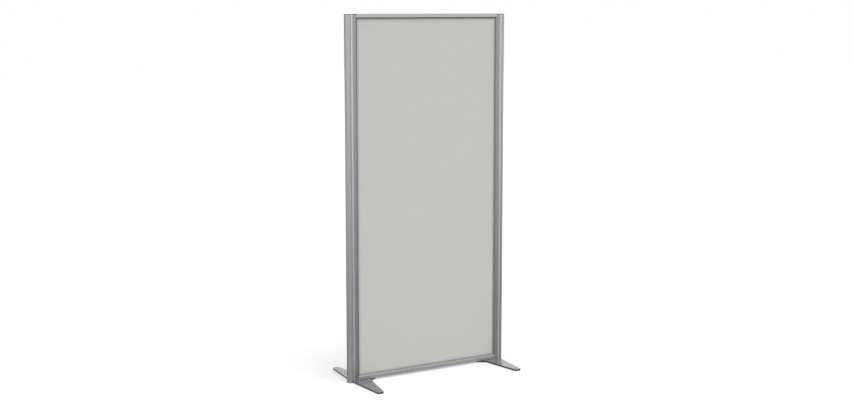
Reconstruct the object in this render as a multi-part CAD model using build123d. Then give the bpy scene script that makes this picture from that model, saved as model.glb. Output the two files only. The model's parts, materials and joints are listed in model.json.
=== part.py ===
from build123d import *
import os

# A free-standing office partition: one fabric panel in an aluminium frame on two flat steel feet.
# Millimetres. X runs along the panel, Y through it (the front is -Y), Z is up.
# The origin is on the floor, in the middle of the partition.

# Overall size
overall_width = 900.0
overall_height = 1800.0
frame_depth = 43.0

# Walls and lips that posts and rails share
wall = 1.8
bevel_run = 6.0
nose_thickness = 2.5
groove_depth = 8.0

# Posts and rails
post_face = 18.0
bead_width = 11.0
bead_fall = 0.6
rail_face = 16.0
rail_edge_round = 2.5

# Link channel in each post's outer side
channel_mouth = 12.0
channel_width = 20.0
channel_depth = 6.0
channel_lip = 2.0

# Half-round end trim that snaps into the link channel
trim_wall = 1.6
leg_thickness = 1.4
leg_reach = 5.0
barb_height = 1.0
barb_run = 2.0
trim_floor_gap = 2.0

# Post caps
cap_thickness = 3.0
cap_drop = 1.0
cap_edge_chamfer = 1.5
spigot_thickness = 2.0
spigot_depth = 14.0
spigot_inset = 1.5

# Panel
panel_thickness = 24.0
panel_play = 2.0
fabric_thickness = 1.0
board_thickness = 3.0
batten_width = 30.0
lattice_pitch = 150.0
lattice_strip = 2.0

# Gaskets
gasket_thickness = 2.0
gasket_tail = 5.0
gasket_head = 2.4
gasket_head_rise = 0.8

# Corner joiners and the hexagon-head screws that hold the rails
screw_diameter = 4.0
screw_head_flats = 7.0
screw_head_height = 2.8
screw_bite = 20.0
screw_drop = 8.0
screw_spacing = 18.0
port_wall = 1.9
driver_way = 10.0

# Foot plates
foot_length = 500.0
plate_thickness = 8.0
hub_length = 60.0
tip_inset = 18.0
tip_width = 32.0
shoulder_reach = 90.0
shoulder_spread = 76.0
apex_reach = 130.0
apex_width = 16.0
tip_round = 11.0
shoulder_round = 14.0
apex_round = 5.0

# Foot bolts, and what they screw into
bolt_diameter = 6.0
bolt_head_diameter = 12.0
bolt_head_height = 3.2
post_bolt_length = 30.0
apex_bolt_length = 15.0
apex_bolt_inset = 18.0
bolt_key = 4.0
bolt_key_depth = 2.0
insert_thickness = 12.0
insert_height = 40.0
nut_plate_length = 30.0
nut_plate_thickness = 5.0

# Levelling glides, one near each foot tip
glide_screw_diameter = 10.0
glide_screw_recess = 0.2
glide_key = 5.0
glide_key_depth = 4.0
glide_tip_inset = 22.0
pad_diameter = 24.0
pad_height = 2.0

# Clearances
fit = 0.2
thread_fit = 0.05
hole_fit = 0.3
overrun = 5.0

# Worked out from the sizes above
half_depth = frame_depth / 2
joint_x = overall_width / 2 - half_depth
post_width = bead_width + post_face + bevel_run
rail_height = rail_face + bevel_run
groove_half = panel_thickness / 2 + gasket_thickness
bevel_fall = half_depth - groove_half - nose_thickness
opening_half = joint_x - post_width
plate_bottom = pad_height
plate_top = plate_bottom + plate_thickness
post_top = overall_height - cap_drop - cap_thickness
opening_bottom = plate_top + rail_height
opening_top = overall_height - rail_height
bottom_screw_z = plate_top + screw_drop
top_screw_z = overall_height - screw_drop
chamber_start = channel_depth + wall
chamber_end = post_width - groove_depth - wall
insert_end = chamber_start + insert_thickness


def patch(x_low, x_high, y_low, y_high):
    """A rectangle between two corners."""
    middle = Pos((x_low + x_high) / 2, (y_low + y_high) / 2)
    return middle * Rectangle(x_high - x_low, y_high - y_low)


def block(x_low, x_high, y_low, y_high, z_low, z_high):
    """A box between two corners."""
    middle = Pos((x_low + x_high) / 2, (y_low + y_high) / 2, (z_low + z_high) / 2)
    return middle * Box(x_high - x_low, y_high - y_low, z_high - z_low)


def upright(radius, z_low, z_high):
    """A cylinder about Z between two heights."""
    return Pos(0, 0, (z_low + z_high) / 2) * Cylinder(radius, z_high - z_low)


def level(radius, x_low, x_high):
    """A cylinder about X between two places."""
    return Pos((x_low + x_high) / 2, 0, 0) * Rot(0, 90, 0) * Cylinder(radius, x_high - x_low)


def on_left(shape):
    """Move a piece drawn from the joint line, with its X running inboard, to the left end."""
    return Pos(-joint_x, 0, 0) * shape


def on_right(shape):
    """The mirror image of a left-hand piece."""
    return mirror(shape, about=Plane.YZ)


def post_outline():
    """The post's outside: a crowned bead beside the trim, a flat face, then a bevel to the groove."""
    bead_y = half_depth - bead_fall
    face_end = post_width - bevel_run
    nose_y = half_depth - bevel_fall
    front_bead = ThreePointArc((0, -bead_y), (bead_width / 2, -half_depth), (bead_width, -bead_y))
    inboard = Polyline(
        (bead_width, -bead_y),
        (bead_width, -half_depth),
        (face_end, -half_depth),
        (post_width, -nose_y),
        (post_width, nose_y),
        (face_end, half_depth),
        (bead_width, half_depth),
        (bead_width, bead_y),
    )
    back_bead = ThreePointArc((bead_width, bead_y), (bead_width / 2, half_depth), (0, bead_y))
    outboard = Line((0, bead_y), (0, -bead_y))
    return make_face(front_bead + inboard + back_bead + outboard)


def post_section():
    """The hollow extrusion: panel groove inboard, link channel outboard, one chamber round both."""
    groove = patch(post_width - groove_depth, post_width + overrun, -groove_half, groove_half)
    mouth = patch(-overrun, channel_lip, -channel_mouth / 2, channel_mouth / 2)
    channel = patch(channel_lip, channel_depth, -channel_width / 2, channel_width / 2)
    lip_end = post_width - bevel_run - wall / 2
    chamber = patch(wall, lip_end, -half_depth + wall, half_depth - wall)
    chamber -= patch(chamber_end, post_width, -groove_half - wall, groove_half + wall)
    channel_side = channel_width / 2 + wall
    chamber -= patch(0, chamber_start, -channel_side, channel_side)
    return post_outline() - groove - mouth - channel - chamber


def rail_screw_places():
    """Y and Z of the screws at one end of both rails."""
    return [
        (side * screw_spacing / 2, height)
        for side in (-1, 1)
        for height in (bottom_screw_z, top_screw_z)
    ]


def screw_slot(height, x_low, x_high, z):
    """A slot in X round one pair of rail screws."""
    side = (screw_spacing + height) / 2
    return block(x_low, x_high, -side, side, z - height / 2, z + height / 2)


def make_post():
    """The post stands on the foot plate, slotted for each pair of rail screws and for their driver."""
    post = Pos(0, 0, plate_top) * extrude(post_section(), post_top - plate_top)
    for z in (bottom_screw_z, top_screw_z):
        post -= screw_slot(screw_diameter + fit * 2, chamber_end - overrun, post_width, z)
        post -= screw_slot(driver_way, -overrun, chamber_start + overrun, z)
    return on_left(post)


def trim_section():
    """A hollow half-round on a flat back, with two barbed legs into the link channel."""
    outer = Circle(half_depth) & patch(-half_depth, 0, -half_depth, half_depth)
    bore = Circle(half_depth - trim_wall) & patch(-half_depth, -trim_wall, -half_depth, half_depth)
    section = outer - bore
    leg_outside = channel_mouth / 2 - fit
    barb_start = channel_lip + fit
    for side in (-1, 1):
        leg_sides = sorted((side * leg_outside, side * (leg_outside - leg_thickness)))
        leg = patch(-trim_wall, leg_reach, *leg_sides)
        barb = make_face(Polyline(
            (barb_start, side * (leg_outside - leg_thickness)),
            (barb_start, side * (leg_outside + barb_height)),
            (barb_start + barb_run, side * leg_outside),
            (barb_start + barb_run, side * (leg_outside - leg_thickness)),
            close=True,
        ))
        section += leg + barb
    return section


def make_trim():
    """The trim runs past the foot plate nearly to the floor, its legs cut back above the plate."""
    trim = Pos(0, 0, trim_floor_gap) * extrude(trim_section(), post_top - trim_floor_gap)
    trim -= block(0, leg_reach + overrun, -half_depth, half_depth, 0, plate_top + fit)
    return on_left(trim)


def make_cap():
    """A cap over post and trim, with a bevelled top edge and two blades into the post."""
    outline = Circle(half_depth) & patch(-half_depth, 0, -half_depth, half_depth)
    outline += patch(0, post_width - fit, -half_depth, half_depth)
    plate = Pos(0, 0, post_top) * extrude(outline, cap_thickness)
    top_edges = plate.faces().sort_by(Axis.Z)[-1].edges()
    exposed = top_edges.filter_by(lambda edge: edge.center().X < post_width - spigot_inset)
    plate = chamfer(exposed, cap_edge_chamfer)
    blade_outside = half_depth - wall - fit
    for side in (-1, 1):
        blade_sides = sorted((side * blade_outside, side * (blade_outside - spigot_thickness)))
        plate += block(
            chamber_start + spigot_inset, chamber_end - spigot_inset, *blade_sides,
            post_top - spigot_depth, post_top,
        )
    return on_left(plate)


def rail_section():
    """The rail's section in depth and drop: bevelled lips, panel groove, two screw ports on ribs."""
    nose_y = half_depth - bevel_fall
    outline = make_face(Polyline(
        (-half_depth, 0),
        (half_depth, 0),
        (half_depth, rail_face),
        (nose_y, rail_height),
        (-nose_y, rail_height),
        (-half_depth, rail_face),
        close=True,
    ))
    top_corners = outline.vertices().filter_by(lambda corner: abs(corner.Y) < wall)
    outline = fillet(top_corners, rail_edge_round)
    groove_floor = rail_height - groove_depth
    groove = patch(-groove_half, groove_half, groove_floor, rail_height + overrun)
    chamber = patch(-half_depth + wall, half_depth - wall, wall, rail_face - wall / 2)
    chamber -= patch(-groove_half - wall, groove_half + wall, groove_floor - wall, rail_height)
    bore_radius = screw_diameter / 2 + thread_fit
    section = outline - groove - chamber
    for side in (-1, 1):
        place = Pos(side * screw_spacing / 2, screw_drop)
        rib = patch(-wall / 2, wall / 2, wall - screw_drop, groove_floor - wall - screw_drop)
        section += place * (Circle(bore_radius + port_wall) + rib)
        section -= place * Circle(bore_radius)
    return section


def make_rail():
    """A rail drawn with its outer face at height zero and its groove upwards."""
    profile = Plane.YZ * rail_section()
    return Pos(-opening_half, 0, 0) * extrude(profile, opening_half * 2, dir=(1, 0, 0))


def make_bottom_rail():
    """The bottom rail lies on both foot plates, with a hole for each apex bolt."""
    rail = Pos(0, 0, plate_top) * make_rail()
    hole = upright(bolt_diameter / 2 + hole_fit, plate_top - overrun, plate_top + wall + overrun)
    hole = Pos(apex_bolt_x() - joint_x, 0, 0) * hole
    return rail - hole - on_right(hole)


def make_top_rail():
    """The same extrusion turned over, with its outer face at the top."""
    return Pos(0, 0, overall_height) * mirror(make_rail(), about=Plane.XY)


def make_joiners():
    """Blocks in the post's groove that fill it behind each rail end, slotted for the rail screws."""
    edge = cap_drop + cap_thickness + fit
    depth = rail_height - groove_depth - fit
    joiners = []
    for z_low, z_high, screw_z in (
        (plate_top + edge, plate_top + depth, bottom_screw_z),
        (overall_height - depth, overall_height - edge, top_screw_z),
    ):
        joiner = block(
            post_width - groove_depth, post_width,
            fit - groove_half, groove_half - fit,
            z_low, z_high,
        )
        joiner -= screw_slot(screw_diameter + fit * 2, chamber_end, post_width + overrun, screw_z)
        joiners.append(on_left(joiner))
    return joiners


def make_rail_screws():
    """Four hexagon-head screws at one end: post web, joiner, then the rail's screw ports."""
    hexagon = RegularPolygon(screw_head_flats / 2, 6, major_radius=False)
    head = extrude(Plane.YZ.offset(chamber_end) * hexagon, -screw_head_height)
    shank = level(screw_diameter / 2, chamber_end, post_width + screw_bite)
    screw = on_left(head + shank)
    return Compound([Pos(0, y, z) * screw for y, z in rail_screw_places()])


panel_half = opening_half + groove_depth - panel_play / 2
panel_bottom = opening_bottom - groove_depth
panel_top = opening_top + groove_depth - panel_play
sheet_half = panel_half - fabric_thickness
sheet_bottom = panel_bottom + fabric_thickness
sheet_top = panel_top - fabric_thickness
board_face = panel_thickness / 2 - fabric_thickness
core_face = board_face - board_thickness


def make_front_fabric():
    """The fabric over the front board, wrapped round its edges to the middle of the panel."""
    face = -panel_thickness / 2
    cover = block(-panel_half, panel_half, face, 0, panel_bottom, panel_top)
    return cover - block(-sheet_half, sheet_half, -board_face, overrun, sheet_bottom, sheet_top)


def make_front_board():
    """The stiff board that the fabric is stretched over."""
    return block(-sheet_half, sheet_half, -board_face, -core_face, sheet_bottom, sheet_top)


def make_battens():
    """The softwood edge frame between the boards: two stiles, with two rails between them."""
    inner_half = sheet_half - batten_width
    pieces = [
        block(-sheet_half, -inner_half, -core_face, core_face, sheet_bottom, sheet_top),
        block(inner_half, sheet_half, -core_face, core_face, sheet_bottom, sheet_top),
    ]
    for z_low in (sheet_bottom, sheet_top - batten_width):
        pieces.append(block(-inner_half, inner_half, -core_face, core_face, z_low, z_low + batten_width))
    return Compound(pieces)


def make_lattice():
    """The card lattice that keeps the boards apart: even square cells in a slab."""
    half = sheet_half - batten_width
    bottom = sheet_bottom + batten_width
    height = sheet_top - batten_width - bottom
    columns = max(round(half * 2 / lattice_pitch), 1)
    rows = max(round(height / lattice_pitch), 1)
    cell_width = (half * 2 - lattice_strip) / columns
    cell_height = (height - lattice_strip) / rows
    slab = block(-half, half, -core_face, core_face, bottom, bottom + height)
    first_x = -half + (lattice_strip + cell_width) / 2
    first_z = bottom + (lattice_strip + cell_height) / 2
    hole = Box(cell_width - lattice_strip, core_face * 2 + overrun, cell_height - lattice_strip)
    holes = [
        Pos(first_x + column * cell_width, 0, first_z + row * cell_height) * hole
        for column in range(columns)
        for row in range(rows)
    ]
    return slab - holes


def gasket_strip(start, end, middle_face):
    """One side of a gasket, mitred: a flat tail in the groove and a taller head that shows."""
    (x_start, z_start), (x_end, z_end) = start, end
    along_x = z_start == z_end
    strip = None
    for near, far, rise in ((-gasket_tail, gasket_head, 0), (0, gasket_head, gasket_head_rise)):
        if along_x:
            inward = 1 if z_start < middle_face else -1
            corners = [
                (x_start + near, z_start + inward * near), (x_end - near, z_end + inward * near),
                (x_end - far, z_end + inward * far), (x_start + far, z_start + inward * far),
            ]
        else:
            inward = 1 if x_start < middle_face else -1
            corners = [
                (x_start + inward * near, z_start + near), (x_end + inward * near, z_end - near),
                (x_end + inward * far, z_end - far), (x_start + inward * far, z_start + far),
            ]
        profile = Plane.XZ * make_face(Polyline(*corners, close=True))
        layer = extrude(profile, gasket_thickness + rise, dir=(0, -1, 0))
        strip = layer if strip is None else strip + layer
    return Pos(0, -panel_thickness / 2, 0) * strip


def make_front_gasket():
    """Four mitred strips that hold the fabric off the lips all round the opening."""
    low, high = opening_bottom, opening_top
    left, right = -opening_half, opening_half
    return Compound([
        gasket_strip((left, low), (right, low), (low + high) / 2),
        gasket_strip((left, high), (right, high), (low + high) / 2),
        gasket_strip((left, low), (left, high), 0),
        gasket_strip((right, low), (right, high), 0),
    ])


def apex_bolt_x():
    """How far inboard of the joint line the apex bolt stands."""
    return apex_reach - apex_bolt_inset


def insert_x():
    """How far inboard of the joint line the post bolt stands."""
    return chamber_start + insert_thickness / 2


def glide_x():
    """The middle of the foot's wing, where the glide stands."""
    outer_run = (foot_length - hub_length) / 2
    inner_run = (foot_length - shoulder_spread) / 2
    outer_edge = tip_inset - (tip_inset - fit) * glide_tip_inset / outer_run
    tip_inner = tip_inset + tip_width
    inner_edge = tip_inner + (shoulder_reach - tip_inner) * glide_tip_inset / inner_run
    return (outer_edge + inner_edge) / 2


def glide_y():
    """How far the glides stand from the middle of the foot."""
    return foot_length / 2 - glide_tip_inset


def foot_outline():
    """The wing-shaped plate: straight along the trim, tapered tips, an apex under the rail."""
    half_one = [
        (fit, hub_length / 2),
        (tip_inset, foot_length / 2),
        (tip_inset + tip_width, foot_length / 2),
        (shoulder_reach, shoulder_spread / 2),
        (apex_reach, apex_width / 2),
    ]
    half_two = [(x, -y) for x, y in reversed(half_one)]
    outline = make_face(Polyline(*half_one, *half_two, close=True))
    for radius, x, y in (
        (tip_round, tip_inset, foot_length / 2),
        (tip_round, tip_inset + tip_width, foot_length / 2),
        (shoulder_round, shoulder_reach, shoulder_spread / 2),
        (apex_round, apex_reach, apex_width / 2),
    ):
        corners = [
            outline.vertices().sort_by_distance((x, side * y, 0))[0]
            for side in (-1, 1)
        ]
        outline = fillet(corners, radius)
    return outline


def countersink(extra):
    """A countersunk bolt's outside, head down, grown by a clearance."""
    head_radius = bolt_head_diameter / 2 + extra
    shank_radius = bolt_diameter / 2 + extra
    head = Pos(0, 0, bolt_head_height / 2) * Cone(head_radius, shank_radius, bolt_head_height)
    return head, shank_radius


def foot_bolt_places():
    """X and length of the two bolts in one foot, both in the panel's middle plane."""
    return [(insert_x(), post_bolt_length), (apex_bolt_x(), apex_bolt_length)]


def make_foot_plate():
    """The steel plate, with countersunk holes from below and a threaded hole in each tip."""
    plate = Pos(0, 0, plate_bottom) * extrude(foot_outline(), plate_thickness)
    head, shank_radius = countersink(hole_fit)
    hole = head + upright(shank_radius, 0, plate_thickness + overrun)
    for x, _ in foot_bolt_places():
        plate -= Pos(x, 0, plate_bottom) * hole
    thread = upright(glide_screw_diameter / 2 + hole_fit, -overrun, plate_top + overrun)
    for side in (-1, 1):
        plate -= Pos(glide_x(), side * glide_y(), 0) * thread
    return on_left(plate)


def make_foot_bolts():
    """A bolt up into the post and one up into the rail, each with a hexagon socket."""
    bolts = []
    for x, length in foot_bolt_places():
        head, shank_radius = countersink(0)
        bolt = head + upright(shank_radius, 0, length)
        bolt -= extrude(RegularPolygon(bolt_key / 2, 6, major_radius=False), bolt_key_depth)
        bolts.append(on_left(Pos(x, 0, plate_bottom + fit) * bolt))
    return Compound(bolts)


def make_insert():
    """The tapped block inside the post's foot."""
    side = half_depth - wall - fit
    insert = block(
        chamber_start + fit, insert_end, -side, side, plate_top, plate_top + insert_height,
    )
    tapped = upright(bolt_diameter / 2 + thread_fit, plate_top - overrun, plate_top + insert_height + overrun)
    return on_left(insert - Pos(insert_x(), 0, 0) * tapped)


def make_nut_plate():
    """The tapped plate that lies in the bottom rail between the screw ports."""
    side = screw_spacing / 2 - screw_diameter / 2 - thread_fit - port_wall - fit
    floor = plate_top + wall
    half_length = nut_plate_length / 2
    plate = block(-half_length, half_length, -side, side, floor, floor + nut_plate_thickness)
    plate -= upright(bolt_diameter / 2 + thread_fit, plate_top, floor + nut_plate_thickness + overrun)
    return on_left(Pos(apex_bolt_x(), 0, 0) * plate)


def make_glide_pad(side):
    """The round pad on the floor that the screw stands on."""
    return on_left(Pos(glide_x(), side * glide_y(), 0) * upright(pad_diameter / 2, 0, pad_height))


def make_glide_screw(side):
    """The levelling screw, flush with the plate, turned with a hexagon key from above."""
    top = plate_top - glide_screw_recess
    screw = upright(glide_screw_diameter / 2, pad_height, top)
    socket = extrude(RegularPolygon(glide_key / 2, 6, major_radius=False), glide_key_depth + overrun)
    screw -= Pos(0, 0, top - glide_key_depth) * socket
    return on_left(Pos(glide_x(), side * glide_y(), 0) * screw)


def build():
    """Every piece of the partition by its name."""
    bottom_joiner, top_joiner = make_joiners()
    left = {
        "post": make_post(),
        "end_trim": make_trim(),
        "post_cap": make_cap(),
        "bottom_joiner": bottom_joiner,
        "top_joiner": top_joiner,
        "rail_screws": make_rail_screws(),
        "foot_plate": make_foot_plate(),
        "foot_bolts": make_foot_bolts(),
        "base_insert": make_insert(),
        "nut_plate": make_nut_plate(),
        "front_glide_pad": make_glide_pad(-1),
        "front_glide_screw": make_glide_screw(-1),
        "rear_glide_pad": make_glide_pad(1),
        "rear_glide_screw": make_glide_screw(1),
    }
    pieces = {
        "bottom_rail": make_bottom_rail(),
        "top_rail": make_top_rail(),
        "panel_battens": make_battens(),
        "panel_lattice": make_lattice(),
    }
    for name, shape in left.items():
        pieces["left_" + name] = shape
        pieces["right_" + name] = on_right(shape)
    for name, shape in (
        ("fabric", make_front_fabric()),
        ("board", make_front_board()),
        ("gasket", make_front_gasket()),
    ):
        pieces["front_" + name] = shape
        pieces["rear_" + name] = mirror(shape, about=Plane.XZ)
    return pieces


os.makedirs("parts", exist_ok=True)
for name, shape in build().items():
    shape.label = name
    export_step(shape, "parts/" + name + ".step")
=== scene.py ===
import json
import math

import bpy
import numpy as np
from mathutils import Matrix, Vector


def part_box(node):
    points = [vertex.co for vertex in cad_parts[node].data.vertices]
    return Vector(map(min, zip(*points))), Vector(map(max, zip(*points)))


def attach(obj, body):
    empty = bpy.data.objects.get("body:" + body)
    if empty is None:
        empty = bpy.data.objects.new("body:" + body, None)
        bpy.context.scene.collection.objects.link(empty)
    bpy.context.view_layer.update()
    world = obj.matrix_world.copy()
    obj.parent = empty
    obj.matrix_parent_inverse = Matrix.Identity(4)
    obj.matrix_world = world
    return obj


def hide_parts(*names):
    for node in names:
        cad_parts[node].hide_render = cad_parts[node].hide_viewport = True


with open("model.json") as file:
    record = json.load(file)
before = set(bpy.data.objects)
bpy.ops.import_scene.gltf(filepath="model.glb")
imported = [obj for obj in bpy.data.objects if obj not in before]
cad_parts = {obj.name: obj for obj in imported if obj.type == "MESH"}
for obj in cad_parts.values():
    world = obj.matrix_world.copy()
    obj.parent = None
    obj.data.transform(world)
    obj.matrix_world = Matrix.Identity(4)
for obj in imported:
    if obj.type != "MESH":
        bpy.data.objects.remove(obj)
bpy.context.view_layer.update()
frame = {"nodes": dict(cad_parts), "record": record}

# Metres. X runs along the panel, Y through it (the front is -Y), Z is up.
scene = bpy.context.scene
scene.view_settings.view_transform = "Standard"


# Places and sizes read from the frame

def span(node_name, axis):
    """Lowest and highest value of a CAD node along one axis."""
    low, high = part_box(node_name)
    return low[axis], high[axis]


X, Y, Z = 0, 1, 2
post_outboard, post_inboard = span("left_post", X)
post_width = post_inboard - post_outboard
post_top = span("left_post", Z)[1]
rail_bottom, opening_low = span("bottom_rail", Z)
opening_high, rail_top = span("top_rail", Z)
opening_half = -post_inboard
half_depth = span("bottom_rail", Y)[1]
cloth_half = span("front_fabric", X)[1]
cloth_low, cloth_high = span("front_fabric", Z)
cloth_face = span("rear_fabric", Y)[1]
gasket_face = span("rear_gasket", Y)[1]

# Sizes of the new pieces, and of the posts' beads and the frame's bevels
cloth_thickness = 0.0009
cloth_fold_radius = 0.0015
cloth_pull = 0.00012
cloth_waves_x = 2.5
cloth_waves_z = 4.5
gasket_flat = 0.002
gasket_tail = 0.005
gasket_lip = 0.0024
wiper_back_share = 1.12
wiper_edge_share = 1.18
bead_width = 0.011
bevel_run = 0.006
bevel_fall = 0.005
rail_face = 0.016
rail_edge_round = 0.0025
mitre_share = 0.995

# How many stations each stretch of a surface has
cloth_stations_x = 36
cloth_stations_z = 72
fold_stations_round = 7
fold_stations_back = 5
rail_round_stations = 6
gasket_bulb_stations = 17


# Pieces made from surfaces

def mesh_piece(name, points, faces, body="frame"):
    """An object from an array of points and a list of faces, smooth shaded and riding on a body."""
    mesh = bpy.data.meshes.new(name)
    mesh.from_pydata(points.tolist(), [], faces)
    mesh.polygons.foreach_set("use_smooth", [True] * len(mesh.polygons))
    mesh.update()
    piece = bpy.data.objects.new(name, mesh)
    scene.collection.objects.link(piece)
    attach(piece, body)
    return piece


def folded(length, half, radius):
    """Where a point of the flat cloth comes to lie, from its distance to the cloth's middle line.

    Up to the fold it stays in the face. Over the fold it turns through a quarter circle of the
    given radius, and past that it runs straight back along the panel's side.
    """
    past = np.maximum(np.abs(length) - (half - radius), 0)
    turn = np.minimum(past / radius, math.pi / 2)
    along = np.minimum(np.abs(length), half - radius) + radius * np.sin(turn)
    back = radius * (1 - np.cos(turn)) + np.maximum(past - radius * math.pi / 2, 0)
    return np.sign(length) * along, back


def fold_stations(half, depth, radius, steps):
    """Distances from the middle line: even over the face, close round the fold, then even again."""
    face = np.linspace(0, half - radius, steps)
    arc = half - radius + radius * np.linspace(0, math.pi / 2, fold_stations_round)[1:]
    side = arc[-1] + np.linspace(0, depth - radius, fold_stations_back)[1:]
    one = np.concatenate([face, arc, side])
    return np.concatenate([-one[:0:-1], one])


def stretched_cloth(name, side):
    """The cloth over one board, on a grid of its flat cut, and the size of that cut.

    Each grid line is folded by its own distance from the middle, in X and in Z, and the deeper of
    the two folds sets how far back a point lies. The face also lies back by half the cloth's pull,
    more or less by a product of two slow cosines that fades out towards the edges, as cloth under
    tension does. The corners, where both folds meet, are cut out.
    """
    mid_z = (cloth_low + cloth_high) / 2
    half_z = (cloth_high - cloth_low) / 2
    flat_x = fold_stations(cloth_half, cloth_face, cloth_fold_radius, cloth_stations_x)
    flat_z = fold_stations(half_z, cloth_face, cloth_fold_radius, cloth_stations_z)
    grid_x, grid_z = np.meshgrid(flat_x, flat_z, indexing="ij")
    x, back_x = folded(grid_x, cloth_half, cloth_fold_radius)
    z, back_z = folded(grid_z, half_z, cloth_fold_radius)
    wave_x = np.cos(x / cloth_half * math.pi * cloth_waves_x)
    wave_z = np.cos(z / half_z * math.pi * cloth_waves_z)
    inside = (1 - (x / cloth_half) ** 2) * (1 - (z / half_z) ** 2)
    back = np.maximum(back_x, back_z) + cloth_pull * (1 + wave_x * wave_z * inside) / 2
    points = np.stack([x, side * (cloth_face - back), z + mid_z], axis=-1).reshape(-1, 3)

    count_z = len(flat_z)
    over_x = np.abs((flat_x[:-1] + flat_x[1:]) / 2) > cloth_half - cloth_fold_radius
    over_z = np.abs((flat_z[:-1] + flat_z[1:]) / 2) > half_z - cloth_fold_radius
    cell_x, cell_z = np.nonzero(~(over_x[:, None] & over_z[None, :]))
    first = cell_x * count_z + cell_z
    loop = [first, first + 1, first + count_z + 1, first + count_z]
    faces = np.stack(loop if side > 0 else loop[::-1], axis=-1)
    used, renumbered = np.unique(faces, return_inverse=True)
    piece = mesh_piece(name, points[used], renumbered.reshape(faces.shape).tolist())

    wall = piece.modifiers.new("thickness", "SOLIDIFY")
    wall.thickness = cloth_thickness
    wall.offset = -1
    return piece, (2 * cloth_half + 2 * cloth_face, 2 * half_z + 2 * cloth_face)


def carried_skin(loops, ring, flip, first=0):
    """Faces of a surface carried through equal loops of points, in a ring or capped at both ends.

    The points are numbered loop by loop, from the first number.
    """
    count, spots = loops.shape[:2]
    start = first + np.arange(count)[:, None] * spots
    beyond = np.roll(start, -1, axis=0)
    spot = np.arange(spots)[None, :]
    after = (spot + 1) % spots
    walls = np.stack([start + spot, beyond + spot, beyond + after, start + after], axis=-1)
    faces = walls[:count if ring else count - 1].reshape(-1, 4).tolist()
    if not ring:
        faces += [(start[0] + spot[0]).tolist(), (start[-1] + spot[0])[::-1].tolist()]
    return [face[::-1] for face in faces] if flip else faces


def coped_corner(end, side, edge_z, way, drop, lost):
    """One end of a rail's outer skin, carried on over the post's bevel to the mitre.

    At each drop from the rail's outer edge the skin keeps the rail's own depth and runs towards
    the post as far as the post's bevel lets it. So each loop is a triangle in plan: the rail's
    end, the point reached, and the foot of the bevel. Over the rail's own bevel the triangles
    shrink to nothing, along the slanting line where the two bevels meet. The end is -1 at the
    left and 1 at the right, the side -1 at the front and 1 at the rear, and the way 1 where the
    drop goes up and -1 where it goes down.
    """
    nose = half_depth - bevel_fall
    depth = half_depth - lost
    reach = (depth - nose) * bevel_run / bevel_fall
    here = np.full_like(drop, opening_half)
    across = np.stack([here, here + reach, here], axis=-1)
    through = np.stack([depth, depth, np.full_like(drop, nose)], axis=-1)
    height = np.broadcast_to((edge_z + way * drop)[:, None], across.shape)
    return np.stack([end * across, side * through, height], axis=-1), end * side * way < 0


def coped_ends(name, edge_z, way, hidden):
    """The four coped corners of one rail, flat shaded, without what the post's cap hides of them.

    The outer edge is a quarter round, and the skin stops just short of the mitre's point.
    """
    turn = np.linspace(0, math.pi / 2, rail_round_stations)
    round_drop = rail_edge_round * (1 - np.cos(turn))
    round_lost = rail_edge_round * (1 - np.sin(turn))
    if hidden > rail_edge_round:
        round_drop, round_lost = np.array([hidden]), np.array([0.0])
    drop = np.concatenate([round_drop, [rail_face, rail_face + bevel_run * mitre_share]])
    lost = np.concatenate([round_lost, [0, bevel_fall * mitre_share]])
    points, faces = [], []
    for end in (-1, 1):
        for side in (-1, 1):
            loops, flip = coped_corner(end, side, edge_z, way, drop, lost)
            faces += carried_skin(loops, False, flip, first=sum(map(len, points)))
            points.append(loops.reshape(-1, 3))
    piece = mesh_piece(name, np.concatenate(points), faces)
    piece.data.polygons.foreach_set("use_smooth", [False] * len(piece.data.polygons))
    return piece


def gasket_profile():
    """The gasket's cross-section as (distance into the opening, height off the cloth).

    A flat tail lies in the groove. In the opening the lip stands up as a bulb, half an ellipse,
    and ends in a thin wiping edge on the cloth.
    """
    rise = gasket_face - cloth_face
    angle = np.linspace(math.pi, 0, gasket_bulb_stations)
    bulb_in = gasket_lip / 2 + gasket_lip / 2 * np.cos(angle)
    bulb_up = gasket_flat + (rise - gasket_flat) * np.sin(angle)
    tail = [(-gasket_tail, 0), (-gasket_tail, gasket_flat)]
    bulb = np.stack([bulb_in, bulb_up], axis=-1)
    wiper = [(gasket_lip * wiper_back_share, gasket_flat / 2), (gasket_lip * wiper_edge_share, 0)]
    return np.concatenate([tail, bulb, wiper])


def swept_gasket(name, side):
    """The gasket's profile carried round the opening, mitred at its four corners."""
    profile = gasket_profile()
    corners = np.array([
        (-opening_half, opening_low), (opening_half, opening_low),
        (opening_half, opening_high), (-opening_half, opening_high),
    ])
    inward = np.array([(1, 1), (-1, 1), (-1, -1), (1, -1)])
    flat = corners[:, None, :] + inward[:, None, :] * profile[None, :, :1]
    up = np.broadcast_to(side * (cloth_face + profile[:, 1]), flat.shape[:2])
    loops = np.stack([flat[..., 0], up, flat[..., 1]], axis=-1)
    return mesh_piece(name, loops.reshape(-1, 3), carried_skin(loops, True, side > 0))


new_pieces = []
for face_name, side in (("front", -1), ("rear", 1)):
    cloth, flat_cut = stretched_cloth(face_name + "_cloth", side)
    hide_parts(face_name + "_fabric")
    gasket = swept_gasket(face_name + "_seal", side)
    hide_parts(face_name + "_gasket")
    new_pieces += [(cloth, "panel_fabric"), (gasket, "gasket_rubber")]
for copes in (
    coped_ends("bottom_rail_copes", rail_bottom, 1, 0),
    coped_ends("top_rail_copes", rail_top, -1, rail_top - post_top),
):
    new_pieces.append((copes, "rail_aluminium"))


# Node helpers

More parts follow.
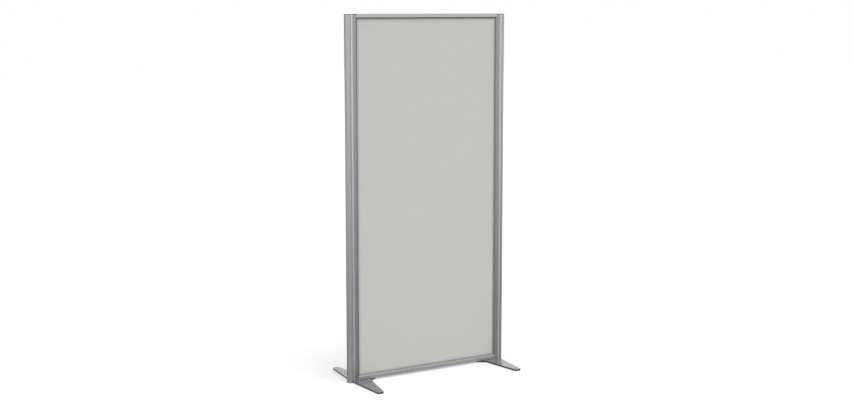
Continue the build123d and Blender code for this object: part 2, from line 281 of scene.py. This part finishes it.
def place(tree, kind, sockets=(), **fields):
    """Add a node, set its fields, and fill or link its input sockets."""
    made = tree.nodes.new(kind)
    for field, value in fields.items():
        setattr(made, field, value)
    for key, value in dict(sockets).items():
        if isinstance(value, bpy.types.NodeSocket):
            tree.links.new(value, made.inputs[key])
        else:
            made.inputs[key].default_value = value
    return made


def calc(tree, operation, *values):
    """A Math node's output."""
    return place(tree, "ShaderNodeMath", enumerate(values), operation=operation).outputs[0]


def vector(tree, operation, *values, output="Vector", **named):
    """A Vector Math node's output."""
    sockets = {**dict(enumerate(values)), **named}
    return place(tree, "ShaderNodeVectorMath", sockets, operation=operation).outputs[output]


def vary(tree, mask, base, spread):
    """The base value, raised by the mask times the spread."""
    return calc(tree, "MULTIPLY_ADD", mask, spread, base)


def ramp(tree, value, low, high, to_low=0.0, to_high=1.0):
    """Value carried from one range to another, clamped."""
    sockets = {"Value": value, "From Min": low, "From Max": high, "To Min": to_low, "To Max": to_high}
    return place(tree, "ShaderNodeMapRange", sockets).outputs["Result"]


def noise(tree, where, scale, detail=2, roughness=0.5, output="Fac"):
    """A noise at a place. The scale is waves to the metre, unless the place is stretched."""
    sockets = {"Vector": where, "Scale": scale, "Detail": detail, "Roughness": roughness}
    return place(tree, "ShaderNodeTexNoise", sockets).outputs[output]


def own_place(tree):
    """The place of a point in its object, in metres."""
    return place(tree, "ShaderNodeTexCoord").outputs["Object"]


def split(tree, vector_socket):
    """The node that gives a vector's X, Y and Z."""
    return place(tree, "ShaderNodeSeparateXYZ", {0: vector_socket})


def facing_up(tree):
    """1 where the surface looks up, 0 where it is upright and -1 where it looks down."""
    normal = place(tree, "ShaderNodeNewGeometry").outputs["Normal"]
    return split(tree, normal).outputs["Z"]


# A Mix node's colour sockets come after those for numbers and vectors
mix_colours_in = (6, 7)
mix_colour_out = 2


def blend_colour(tree, mask, *colours):
    """The first colour where the mask is 0 and the second where it is 1."""
    sockets = {"Factor": mask}
    for socket, colour in zip(mix_colours_in, colours):
        linked = isinstance(colour, bpy.types.NodeSocket)
        sockets[socket] = colour if linked else (*colour, 1)
    return place(tree, "ShaderNodeMix", sockets, data_type="RGBA").outputs[mix_colour_out]


def tinge(tree, mask, base, tint, share):
    """The base colour, moved towards the tint by a share of the mask."""
    return blend_colour(tree, calc(tree, "MULTIPLY", mask, share), base, tint)


# Node groups

def new_group(name, inputs, outputs):
    """An empty shader group with named value or vector sockets, and its two end nodes."""
    tree = bpy.data.node_groups.new(name, "ShaderNodeTree")
    kinds = {"value": "NodeSocketFloat", "vector": "NodeSocketVector"}
    for socket_name, kind, default in inputs:
        socket = tree.interface.new_socket(socket_name, in_out="INPUT", socket_type=kinds[kind])
        socket.default_value = default
    for socket_name in outputs:
        tree.interface.new_socket(socket_name, in_out="OUTPUT", socket_type="NodeSocketFloat")
    return tree, tree.nodes.new("NodeGroupInput"), tree.nodes.new("NodeGroupOutput")


# Factors that draw a pattern out along one axis
along_x = (0.004, 1.0, 1.0)
along_z = (1.0, 1.0, 0.004)
extrusion_lines = 900.0
weave_pitch = 0.0013


def die_line_group():
    """Fine lines left by the extrusion die: noise squeezed across the piece and drawn along it."""
    slow_share = 0.06
    tree, start, end = new_group("die_lines", [
        ("Stretch", "vector", along_z), ("Lines", "value", extrusion_lines),
    ], ["Height", "Tone"])
    drawn = vector(tree, "MULTIPLY", own_place(tree), start.outputs["Stretch"])
    fine = noise(tree, drawn, start.outputs["Lines"], detail=4, roughness=0.6)
    slow = noise(tree, drawn, calc(tree, "MULTIPLY", start.outputs["Lines"], slow_share))
    tree.links.new(fine, end.inputs["Height"])
    tree.links.new(slow, end.inputs["Tone"])
    return tree


def opening_group():
    """How far a point lies outside the frame's opening, past its sides and past its ends."""
    tree, _, end = new_group("opening_distance", [], ["Past side", "Past end"])
    axes = split(tree, own_place(tree))
    middle = (opening_low + opening_high) / 2
    from_middle = calc(tree, "ABSOLUTE", calc(tree, "SUBTRACT", axes.outputs["Z"], middle))
    past_side = calc(tree, "SUBTRACT", calc(tree, "ABSOLUTE", axes.outputs["X"]), opening_half)
    past_end = calc(tree, "SUBTRACT", from_middle, (opening_high - opening_low) / 2)
    tree.links.new(past_side, end.inputs["Past side"])
    tree.links.new(past_end, end.inputs["Past end"])
    return tree


def handling_group():
    """Faint handling marks and dust: cloudy noise, and settled dust where a face looks up."""
    cloud_edges = (0.35, 0.7)
    speck_edges = (0.45, 0.75)
    level_edges = (0.6, 1.0)
    tree, start, end = new_group("handling", [("Scale", "value", 6.0)], ["Smudge", "Dust"])
    where = own_place(tree)
    cloud = noise(tree, where, start.outputs["Scale"], detail=5, roughness=0.55)
    speck = noise(tree, where, scale=260.0, detail=3)
    settled = ramp(tree, facing_up(tree), *level_edges)
    dust = calc(tree, "MULTIPLY", settled, ramp(tree, speck, *speck_edges))
    tree.links.new(ramp(tree, cloud, *cloud_edges), end.inputs["Smudge"])
    tree.links.new(dust, end.inputs["Dust"])
    return tree


def weave_group():
    """A plain weave in the panel's plane: warp and weft pass over each other in a chequer.

    Each thread's height is the absolute sine of its own coordinate. The product of the two
    half-pitch sines says which thread is on top. Slow noise leads the threads a little astray,
    and the slubs are a noise drawn out along X.
    """
    astray = 0.0006
    under_height = 0.4
    slub_squeeze = (6.0, 1.0, 160.0)
    tree, start, end = new_group(
        "weave", [("Pitch", "value", weave_pitch)], ["Height", "Top thread", "Slub"],
    )
    where = own_place(tree)
    wander = vector(tree, "SUBTRACT", noise(tree, where, scale=55.0, output="Color"), (0.5, 0.5, 0.5))
    axes = split(tree, vector(tree, "ADD", where, vector(tree, "SCALE", wander, Scale=astray)))
    waves = []
    for axis in ("X", "Z"):
        pitches = calc(tree, "DIVIDE", axes.outputs[axis], start.outputs["Pitch"])
        waves.append(calc(tree, "SINE", calc(tree, "MULTIPLY", pitches, math.pi)))
    warp_over = calc(tree, "GREATER_THAN", calc(tree, "MULTIPLY", *waves), 0.0)
    weft_over = calc(tree, "SUBTRACT", 1.0, warp_over)
    threads = []
    for wave, over in zip(waves, (warp_over, weft_over)):
        lift = vary(tree, over, base=under_height, spread=1 - under_height)
        threads.append(calc(tree, "MULTIPLY", calc(tree, "ABSOLUTE", wave), lift))
    slub = noise(tree, vector(tree, "MULTIPLY", where, slub_squeeze), scale=5.0, detail=3)
    tree.links.new(calc(tree, "MAXIMUM", *threads), end.inputs["Height"])
    tree.links.new(warp_over, end.inputs["Top thread"])
    tree.links.new(slub, end.inputs["Slub"])
    return tree


def orange_peel_group():
    """The skin of powder paint: a fine rounded dimple over a slow roll, with metal flake specks."""
    roll_share = 0.3
    roll_height = 0.6
    flake_edges = (0.5, 0.75)
    tree, start, end = new_group("orange_peel", [("Scale", "value", 420.0)], ["Height", "Flake"])
    where = own_place(tree)
    cells = {"Vector": where, "Scale": start.outputs["Scale"]}
    dimple = place(tree, "ShaderNodeTexVoronoi", cells, feature="SMOOTH_F1").outputs["Distance"]
    roll = noise(tree, where, calc(tree, "MULTIPLY", start.outputs["Scale"], roll_share))
    flake = noise(tree, where, scale=1900.0, detail=1)
    tree.links.new(vary(tree, roll, base=dimple, spread=roll_height), end.inputs["Height"])
    tree.links.new(ramp(tree, flake, *flake_edges), end.inputs["Flake"])
    return tree


die_lines = die_line_group()
handling = handling_group()
opening_distance = opening_group()
weave = weave_group()
orange_peel = orange_peel_group()


# Materials. A depth is how far the bump stands out, in metres, and a tone is linear.

def blank(name):
    """A material with an empty node tree."""
    material = bpy.data.materials.new(name)
    material.use_nodes = True
    material.node_tree.nodes.clear()
    return material, material.node_tree


def group(tree, made, **sockets):
    """One of the node groups placed in a material, with its own values."""
    values = {key.replace("_", " "): value for key, value in sockets.items()}
    return place(tree, "ShaderNodeGroup", values, node_tree=made)


def shade_of(tone, times, plus=0.0):
    """A darker or paler shade of a tone: multiplied, raised, and no higher than 1."""
    return tuple(min(part * times + plus, 1) for part in tone)


def shaded(tree, colour, roughness, height, depth, **constants):
    """The material's own shader, with its bump, and with plain numbers straight on its sockets."""
    shader = place(tree, "ShaderNodeBsdfPrincipled", {"Base Color": colour, "Roughness": roughness})
    bump = place(tree, "ShaderNodeBump", {"Height": height, "Strength": 1.0, "Distance": depth})
    output = place(tree, "ShaderNodeOutputMaterial")
    tree.links.new(bump.outputs["Normal"], shader.inputs["Normal"])
    tree.links.new(shader.outputs["BSDF"], output.inputs["Surface"])
    for key, value in constants.items():
        shader.inputs[key.replace("_", " ")].default_value = value


def satin_aluminium(name, tone, stretch, bead_highlight_tone=None, bevel_shade_tone=None, metal=0.8, under_shade=0.0):
    """Satin anodised extrusion: die lines along its length, soft smudges, painted shade at the seam.

    On a post a painted highlight makes the crowned bead brighter than the face, and painted shade
    makes the bevel darker. The under shade is painted shade that darkens what looks down.
    """
    joint_shade_tone = (0.02, 0.02, 0.022)
    joint_shade = 0.85
    joint_edges = (0.0004, 0.0022)
    line_tone = (0.1, 0.1, 0.105)
    dust_tone = (0.7, 0.69, 0.66)
    under_shade_tone = (0.03, 0.03, 0.032)
    under_shade_edges = (-0.5, -0.2)
    bead_blur = 0.0002
    bevel_blur = 0.0003
    material, tree = blank(name)
    drawn = group(tree, die_lines, Stretch=stretch, Lines=extrusion_lines)
    marks = group(tree, handling, Scale=7.0)
    outside = group(tree, opening_distance).outputs["Past side"]
    body_tone = tone
    if bead_highlight_tone is not None:
        bead_start = post_width - bead_width
        # Painted highlight: the crowned bead gets a paler tone for the glint that it catches.
        on_bead = ramp(tree, outside, bead_start - bead_blur, bead_start + bead_blur)
        # Painted shade: the bevel by the opening gets a darker tone for the shade in that recess.
        on_bevel = ramp(tree, outside, bevel_run - bevel_blur, bevel_run + bevel_blur, 1.0, 0.0)
        bevel_shaded = blend_colour(tree, on_bevel, tone, bevel_shade_tone)
        body_tone = blend_colour(tree, on_bead, bevel_shaded, bead_highlight_tone)
    # Painted shade: a dark line along the seam between post and trim, fading over about two
    # millimetres to either side.
    from_joint = calc(tree, "ABSOLUTE", calc(tree, "SUBTRACT", outside, post_width))
    joint_shade_mask = ramp(tree, from_joint, *joint_edges, joint_shade, 0.0)
    joint_shaded = blend_colour(tree, joint_shade_mask, body_tone, joint_shade_tone)
    lined = tinge(tree, drawn.outputs["Tone"], joint_shaded, line_tone, share=0.1)
    colour = tinge(tree, marks.outputs["Dust"], lined, dust_tone, share=0.06)
    # Painted shade: faces that look down are darkened towards a near-black tone.
    if under_shade:
        shade_below = ramp(tree, facing_up(tree), *under_shade_edges, under_shade, 0.0)
        colour = blend_colour(tree, shade_below, colour, under_shade_tone)
    smudged = vary(tree, marks.outputs["Smudge"], base=0.25, spread=0.025)
    rough = vary(tree, drawn.outputs["Height"], base=smudged, spread=0.05)
    shaded(
        tree, colour, rough, drawn.outputs["Height"], depth=0.00001,
        Metallic=metal, Specular_Tint=(0.3, 0.3, 0.31, 1),
    )
    return material


def mill_aluminium(name):
    """Sawn, untreated aluminium with coarse saw lines across it."""
    material, tree = blank(name)
    drawn = group(tree, die_lines, Stretch=(0.02, 1, 1), Lines=450.0)
    colour = tinge(tree, drawn.outputs["Height"], (0.62, 0.62, 0.62), (0.4, 0.4, 0.4), share=0.3)
    shaded(
        tree, colour, roughness=0.45, height=drawn.outputs["Height"], depth=0.00006, Metallic=1.0,
    )
    return material


def silver_powder_coat(name):
    """Silver powder paint on steel plate, with its upright edges darker."""
    paint_tone = (0.33, 0.345, 0.382)
    flake_tone = (0.445, 0.46, 0.49)
    rim_tone = (0.05, 0.05, 0.055)
    dust_tone = (0.6, 0.59, 0.57)
    level_edges = (0.3, 0.6)
    material, tree = blank(name)
    skin = group(tree, orange_peel)
    marks = group(tree, handling, Scale=11.0)
    flaked = tinge(tree, skin.outputs["Flake"], paint_tone, flake_tone, share=0.5)
    level = ramp(tree, calc(tree, "ABSOLUTE", facing_up(tree)), *level_edges)
    rimmed = blend_colour(tree, level, rim_tone, flaked)
    colour = tinge(tree, marks.outputs["Dust"], rimmed, dust_tone, share=0.1)
    rough = vary(tree, marks.outputs["Smudge"], base=0.17, spread=0.05)
    shaded(tree, colour, rough, skin.outputs["Height"], depth=0.00001, Metallic=0.6)
    return material


def zinc_plate(name, tone):
    """Bright zinc plating, slightly mottled, with faint tool marks."""
    material, tree = blank(name)
    marks = group(tree, handling, Scale=90.0)
    drawn = group(tree, die_lines, Stretch=(1, 1, 0.05), Lines=1600.0)
    darker = shade_of(tone, times=0.6)
    mottled = tinge(tree, marks.outputs["Smudge"], tone, darker, share=0.5)
    rough = vary(tree, marks.outputs["Smudge"], base=0.28, spread=0.15)
    shaded(tree, mottled, rough, drawn.outputs["Height"], depth=0.00002, Metallic=1.0)
    return material


def moulded_plastic(name, tone, roughness):
    """Moulded plastic with a spark-eroded grain, and dust where it looks up."""
    material, tree = blank(name)
    marks = group(tree, handling, Scale=30.0)
    grain = noise(tree, own_place(tree), scale=1400.0)
    pale = shade_of(tone, times=1.6, plus=0.02)
    dusty = tinge(tree, marks.outputs["Dust"], tone, pale, share=0.35)
    rough = vary(tree, marks.outputs["Smudge"], base=roughness, spread=0.12)
    shaded(tree, dusty, rough, grain, depth=0.00004)
    return material


def extruded_rubber(name, tone):
    """Soft extruded rubber: matt, with a slight bloom and fine pores."""
    material, tree = blank(name)
    marks = group(tree, handling, Scale=24.0)
    pores = noise(tree, own_place(tree), scale=900.0)
    bloom = shade_of(tone, times=1.5, plus=0.01)
    faded = tinge(tree, marks.outputs["Smudge"], tone, bloom, share=0.4)
    shaded(tree, faded, roughness=0.62, height=pores, depth=0.00002)
    return material


def screen_cloth(name, warp_tone, weft_tone):
    """Flat woven screen cloth: two close yarn tones in a plain weave, slubs, and a soft sheen.

    It is a little darker between the threads and along the slubs, and painted shade darkens it
    towards the frame.
    """
    deep_tone = shade_of(warp_tone, times=0.72)
    gap_edges = (0.15, 0.75)
    gap_shade = 0.35
    slub_edges = (0.42, 0.62)
    slub_shade = 0.1
    frame_shade_tone = (0.16, 0.16, 0.145)
    frame_shade_edges = (-0.016, -0.002)
    frame_shade_power = 1.6
    material, tree = blank(name)
    threads = group(tree, weave, Pitch=weave_pitch)
    yarn = blend_colour(tree, threads.outputs["Top thread"], warp_tone, weft_tone)
    gaps = ramp(tree, threads.outputs["Height"], *gap_edges, gap_shade, 0.0)
    gapped = blend_colour(tree, gaps, yarn, deep_tone)
    slubs = ramp(tree, threads.outputs["Slub"], *slub_edges, 0.0, slub_shade)
    slubbed = blend_colour(tree, slubs, gapped, deep_tone)
    # Painted shade: the cloth darkens over its last 16 millimetres towards the frame's opening edge.
    border = group(tree, opening_distance)
    past = calc(tree, "MAXIMUM", border.outputs["Past side"], border.outputs["Past end"])
    frame_shade = calc(tree, "POWER", ramp(tree, past, *frame_shade_edges), frame_shade_power)
    frame_shaded = tinge(tree, frame_shade, slubbed, frame_shade_tone, share=0.5)
    height = vary(tree, threads.outputs["Slub"], base=threads.outputs["Height"], spread=0.25)
    shaded(
        tree, frame_shaded, roughness=0.9, height=height, depth=0.00018,
        Sheen_Weight=0.12, Sheen_Roughness=0.5,
    )
    return material


def raw_fibre(name, dark, pale, edges, squeeze, scale, detail, roughness, depth):
    """Raw hardboard or card: a fibrous noise from a dark tone to a pale one, matt."""
    material, tree = blank(name)
    fibre = noise(tree, vector(tree, "MULTIPLY", own_place(tree), squeeze), scale, detail)
    colour = blend_colour(tree, ramp(tree, fibre, *edges), dark, pale)
    shaded(tree, colour, roughness, fibre, depth)
    return material


def planed_softwood(name):
    """Planed softwood: growth bands one after another along X, bent by noise and drawn along Z."""
    early_tone = (0.62, 0.46, 0.28)
    late_tone = (0.43, 0.28, 0.14)
    material, tree = blank(name)
    drawn = vector(tree, "MULTIPLY", own_place(tree), (1.0, 1.0, 0.06))
    growth = {"Vector": drawn, "Scale": 55.0, "Distortion": 6.0, "Detail": 3, "Detail Scale": 1.2}
    bands = place(tree, "ShaderNodeTexWave", growth, bands_direction="X").outputs["Fac"]
    colour = blend_colour(tree, bands, early_tone, late_tone)
    shaded(tree, colour, roughness=0.65, height=bands, depth=0.0001)
    return material


recipes = {
    "post_aluminium": (satin_aluminium, {
        "tone": (0.17, 0.17, 0.174), "stretch": along_z,
        "bead_highlight_tone": (0.32, 0.32, 0.335), "bevel_shade_tone": (0.15, 0.15, 0.15),
    }),
    "trim_aluminium": (satin_aluminium, {"tone": (0.236, 0.231, 0.237), "stretch": along_z}),
    "rail_aluminium": (satin_aluminium, {
        "tone": (0.28, 0.28, 0.283), "stretch": along_x, "metal": 0.6, "under_shade": 0.5,
    }),
    "joiner_aluminium": (mill_aluminium, {}),
    "plate_steel": (silver_powder_coat, {}),
    "glide_steel": (zinc_plate, {"tone": (0.42, 0.42, 0.43)}),
    "zinc_steel": (zinc_plate, {"tone": (0.55, 0.55, 0.54)}),
    "cap_plastic": (moulded_plastic, {"tone": (0.11, 0.11, 0.115), "roughness": 0.5}),
    "pad_plastic": (moulded_plastic, {"tone": (0.02, 0.02, 0.021), "roughness": 0.42}),
    "gasket_rubber": (extruded_rubber, {"tone": (0.27, 0.27, 0.26)}),
    "panel_fabric": (screen_cloth, {
        "warp_tone": (0.597, 0.602, 0.569), "weft_tone": (0.567, 0.572, 0.54),
    }),
    "hardboard": (raw_fibre, {
        "dark": (0.17, 0.105, 0.055), "pale": (0.33, 0.21, 0.12), "edges": (0.35, 0.65),
        "squeeze": (1.0, 1.0, 0.35), "scale": 320.0, "detail": 6, "roughness": 0.78, "depth": 0.00015,
    }),
    "softwood": (planed_softwood, {}),
    "card": (raw_fibre, {
        "dark": (0.36, 0.27, 0.17), "pale": (0.5, 0.39, 0.26), "edges": (0.3, 0.7),
        "squeeze": (1.0, 1.0, 1.0), "scale": 240.0, "detail": 5, "roughness": 0.85, "depth": 0.0001,
    }),
}
finishes = {slot: make(slot, **values) for slot, (make, values) in recipes.items()}


def finish_piece(piece, slot):
    """Give a piece the finish of its record slot, in each material slot it has or in a new one."""
    if not piece.material_slots:
        piece.data.materials.append(finishes[slot])
    for material_slot in piece.material_slots:
        material_slot.material = finishes[slot]


for subpart in frame["record"]["subparts"]:
    finish_piece(frame["nodes"][subpart["node"]], subpart["material_slot"])
for piece, slot in new_pieces:
    finish_piece(piece, slot)


# Floor, surround and lamp

def see_white(tree):
    """1 for camera, glossy and transmission rays, and 0 for those that light the object."""
    ray = place(tree, "ShaderNodeLightPath").outputs
    seen = calc(tree, "MAXIMUM", ray["Is Camera Ray"], ray["Is Glossy Ray"])
    return calc(tree, "MAXIMUM", seen, ray["Is Transmission Ray"])


def pale_floor(reach, glow, far_glow):
    """A wide matt floor that renders white where nothing shades it, and keeps the object's shadow.

    What metal mirrors of it grows brighter away from the object, by the far glow, as a studio
    floor does towards its lit backdrop.
    """
    paper_tone = (0.8, 0.8, 0.8, 1)
    glow_edges = (2.0, 12.0)
    corners = [(-reach, -reach, 0), (reach, -reach, 0), (reach, reach, 0), (-reach, reach, 0)]
    mesh = bpy.data.meshes.new("floor")
    mesh.from_pydata(corners, [], [(0, 1, 2, 3)])
    floor = bpy.data.objects.new("floor", mesh)
    scene.collection.objects.link(floor)
    material, tree = blank("floor_paper")
    matt = place(tree, "ShaderNodeBsdfDiffuse", {"Color": paper_tone})
    away = vector(tree, "LENGTH", own_place(tree), output="Value")
    mirrored = place(tree, "ShaderNodeLightPath").outputs["Is Glossy Ray"]
    far = calc(tree, "MULTIPLY", mirrored, ramp(tree, away, *glow_edges, 0.0, far_glow))
    lift = vary(tree, see_white(tree), base=far, spread=glow)
    lit = place(tree, "ShaderNodeEmission", {"Strength": lift})
    both = place(tree, "ShaderNodeAddShader", {0: matt.outputs[0], 1: lit.outputs[0]})
    output = place(tree, "ShaderNodeOutputMaterial")
    tree.links.new(both.outputs[0], output.inputs["Surface"])
    floor.data.materials.append(material)


def white_surround(level, band, ceiling):
    """A world that is white to the eye and lights the object evenly at the given level.

    What metal mirrors is the same white, with a brighter band of softboxes just above the horizon
    round the front and the sides, and a ceiling panel. Each pair of edges says where that light
    starts and stops changing, as the Z or Y of a direction of length 1.
    """
    band_foot_edges = (-0.08, 0.12)
    band_head_edges = (0.14, 0.3)
    band_rear_edges = (0.05, 0.6)
    ceiling_edges = (0.5, 0.8)
    world = bpy.data.worlds.new("surround")
    world.use_nodes = True
    tree = world.node_tree
    tree.nodes.clear()
    ray = place(tree, "ShaderNodeLightPath").outputs
    mirrored = calc(tree, "MAXIMUM", ray["Is Glossy Ray"], ray["Is Transmission Ray"])
    toward = split(tree, place(tree, "ShaderNodeTexCoord").outputs["Generated"])
    foot = ramp(tree, toward.outputs["Z"], *band_foot_edges, 0.0, band - 1.0)
    head = ramp(tree, toward.outputs["Z"], *band_head_edges, 1.0, 0.0)
    sides = ramp(tree, toward.outputs["Y"], *band_rear_edges, 1.0, 0.0)
    overhead = ramp(tree, toward.outputs["Z"], *ceiling_edges, 0.0, ceiling - 1.0)
    lit_band = calc(tree, "MULTIPLY", calc(tree, "MULTIPLY", foot, head), sides)
    extra = calc(tree, "MULTIPLY", mirrored, calc(tree, "ADD", lit_band, overhead))
    plain = ramp(tree, see_white(tree), 0.0, 1.0, level, 1.0)
    strength = calc(tree, "ADD", plain, extra)
    sky = place(tree, "ShaderNodeBackground", {"Color": (1, 1, 1, 1), "Strength": strength})
    output = place(tree, "ShaderNodeOutputWorld")
    tree.links.new(sky.outputs[0], output.inputs["Surface"])
    scene.world = world


def soft_sun(name, turn, height, spread, power):
    """A wide, even lamp from one direction: degrees right of the front and above the floor."""
    lamp = bpy.data.lights.new(name, "SUN")
    lamp.energy = power
    lamp.angle = math.radians(spread)
    made = bpy.data.objects.new(name, lamp)
    scene.collection.objects.link(made)
    made.rotation_euler = (math.radians(90 - height), 0, math.radians(turn))
    made.visible_glossy = False


pale_floor(reach=30.0, glow=0.38, far_glow=1.05)
white_surround(level=0.65, band=3.6, ceiling=1.9)
soft_sun("key", turn=35, height=42, spread=80, power=1.42)


# Camera

def photograph_camera(eye, turn, tilt, lens, shift):
    """The photograph's viewpoint, left of the panel's middle and about as high as its top.

    The eye is in metres, the turn in degrees to the right, the tilt in degrees down, the lens in
    millimetres and the shift in widths of the picture.
    """
    camera = bpy.data.cameras.new("camera")
    camera.sensor_width = 36.0
    camera.lens = lens
    camera.shift_y = shift
    made = bpy.data.objects.new("camera", camera)
    scene.collection.objects.link(made)
    made.location = eye
    made.rotation_euler = (math.pi / 2 - math.radians(tilt), 0, -math.radians(turn))
    scene.camera = made


photograph_camera(
    eye=(-3.1817, -5.5153, 1.8279), turn=29.9955, tilt=7.6635, lens=54.25, shift=-0.028,
)
